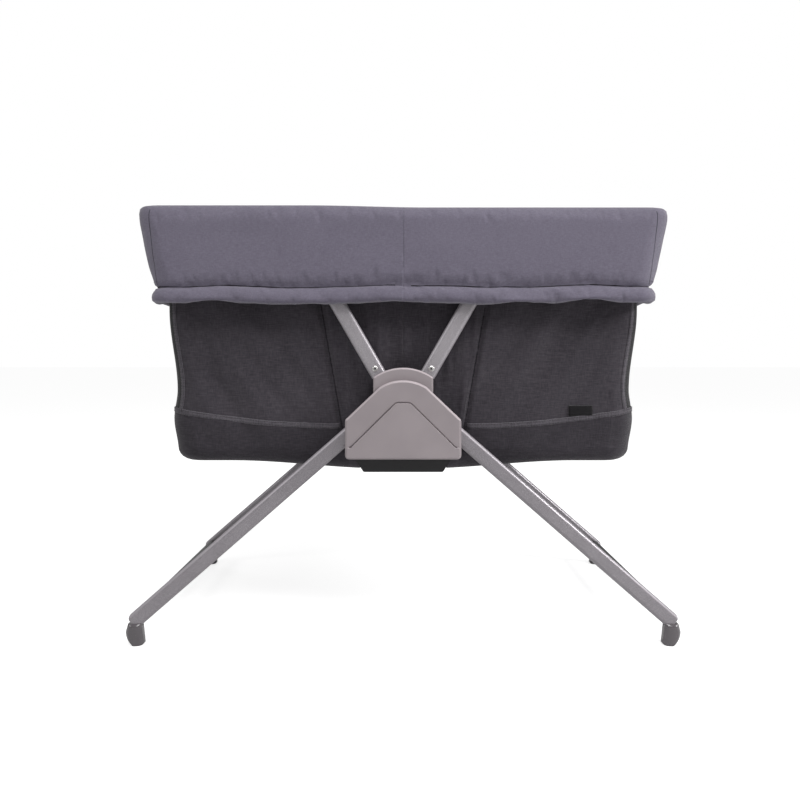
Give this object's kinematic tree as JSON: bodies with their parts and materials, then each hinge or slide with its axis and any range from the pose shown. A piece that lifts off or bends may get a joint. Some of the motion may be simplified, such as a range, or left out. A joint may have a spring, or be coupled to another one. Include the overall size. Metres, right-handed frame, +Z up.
{
  "type": "bassinet on stand",
  "caption": "Rectangular fabric bassinet with a padded fold-over cuff, carried by flat-oval arms and splayed legs that meet in a hub on each long side.",
  "frame": {"origin": "on the floor under the middle of the object", "axes": "+X right along the long side, +Y to the back, +Z up"},
  "size_m": [0.9402, 0.6, 0.742],
  "materials": {
    "hub_plastic": "satin moulded plastic, warm grey",
    "foot_plastic": "dark glossy moulded plastic",
    "black_plastic": "black moulded plastic",
    "painted_tube": "silver-grey powder coat on flat-oval steel tube",
    "rim_steel": "black powder coat",
    "zinc_steel": "zinc plated",
    "tub_fabric": "dark melange woven polyester",
    "cuff_fabric": "grey melange woven polyester, lightly padded",
    "floor_board": "stiff board under the mattress",
    "mattress_fabric": "thin padded mattress in pale grey cloth"
  },
  "bodies": {
    "base": {"front_hub_cover": "hub_plastic", "back_hub_cover": "hub_plastic", "front_hub_shell": "hub_plastic", "back_hub_shell": "hub_plastic", "front_hub_plate": "rim_steel", "back_hub_plate": "rim_steel", "front_hub_spacers": "zinc_steel", "back_hub_spacers": "zinc_steel", "front_hub_screws": "zinc_steel", "back_hub_screws": "zinc_steel", "front_hub_pins": "zinc_steel", "back_hub_pins": "zinc_steel", "front_lock_spring": "zinc_steel", "back_lock_spring": "zinc_steel", "centre_beam": "black_plastic"},
    "front_lock": {"front_lock_plate": "black_plastic"},
    "back_lock": {"back_lock_plate": "black_plastic"},
    "left_legs": {"front_left_leg": "painted_tube", "back_left_leg": "painted_tube", "front_left_foot": "foot_plastic", "back_left_foot": "foot_plastic", "left_cross_tube": "rim_steel", "left_leg_plugs": "black_plastic"},
    "right_legs": {"front_right_leg": "painted_tube", "back_right_leg": "painted_tube", "front_right_foot": "foot_plastic", "back_right_foot": "foot_plastic", "right_cross_tube": "rim_steel", "right_leg_plugs": "black_plastic"},
    "left_arms": {"front_left_arm": "painted_tube", "back_left_arm": "painted_tube", "left_arm_tongues": "zinc_steel", "left_arm_rivets": "zinc_steel"},
    "right_arms": {"front_right_arm": "painted_tube", "back_right_arm": "painted_tube", "right_arm_tongues": "zinc_steel", "right_arm_rivets": "zinc_steel"},
    "left_rim": {"front_left_rail": "rim_steel", "back_left_rail": "rim_steel", "left_end_rail": "rim_steel", "left_rim_corners": "black_plastic", "left_rim_hinges": "zinc_steel", "left_saddles": "black_plastic", "left_saddle_pins": "zinc_steel", "left_tub": "tub_fabric", "left_cuff": "cuff_fabric", "left_floor_board": "floor_board", "left_mattress": "mattress_fabric", "rim_hinge_pins": "zinc_steel"},
    "right_rim": {"front_right_rail": "rim_steel", "back_right_rail": "rim_steel", "right_end_rail": "rim_steel", "right_rim_corners": "black_plastic", "right_rim_hinges": "zinc_steel", "right_saddles": "black_plastic", "right_saddle_pins": "zinc_steel", "right_tub": "tub_fabric", "right_cuff": "cuff_fabric", "right_floor_board": "floor_board", "right_mattress": "mattress_fabric"}
  },
  "joints": [
    {"name": "left_legs_fold", "type": "hinge", "parent": "base", "child": "left_legs", "pos_m": [-0.052, 0, 0.3917], "axis": [0, -1, 0], "range_deg": [0, 46]},
    {"name": "right_legs_fold", "type": "hinge", "parent": "base", "child": "right_legs", "pos_m": [0.052, 0, 0.3917], "axis": [0, 1, 0], "range_deg": [0, 46]},
    {"name": "left_arms_fold", "type": "hinge", "parent": "base", "child": "left_arms", "pos_m": [-0.0256, 0, 0.43], "axis": [0, 1, 0], "range_deg": [0, 30]},
    {"name": "right_arms_fold", "type": "hinge", "parent": "base", "child": "right_arms", "pos_m": [0.0256, 0, 0.43], "axis": [0, -1, 0], "range_deg": [0, 30]},
    {"name": "left_rim_fold", "type": "hinge", "parent": "left_arms", "child": "left_rim", "pos_m": [-0.194, 0, 0.722], "axis": [0, 1, 0], "range_deg": [0, 52.5], "deforming": ["left_tub", "left_cuff", "left_floor_board", "left_mattress"]},
    {"name": "right_rim_fold", "type": "hinge", "parent": "right_arms", "child": "right_rim", "pos_m": [0.194, 0, 0.722], "axis": [0, -1, 0], "range_deg": [0, 52.5], "deforming": ["right_tub", "right_cuff", "right_floor_board", "right_mattress"]},
    {"name": "front_lock_lift", "type": "slide", "parent": "base", "child": "front_lock", "axis": [0, 0, 1], "range_m": [0, 0.008], "stiffness_N_per_m": 250, "springref_m": -0.006, "deforming": ["front_lock_spring"]},
    {"name": "back_lock_lift", "type": "slide", "parent": "base", "child": "back_lock", "axis": [0, 0, 1], "range_m": [0, 0.008], "stiffness_N_per_m": 250, "springref_m": -0.006, "deforming": ["back_lock_spring"]}
  ],
  "couplings": [
    {"joint": "right_legs_fold", "follows": "left_legs_fold", "ratio": 1},
    {"joint": "right_arms_fold", "follows": "left_arms_fold", "ratio": 1},
    {"joint": "left_rim_fold", "follows": "left_arms_fold", "ratio": 1.7467},
    {"joint": "right_rim_fold", "follows": "left_arms_fold", "ratio": 1.7467}
  ]
}
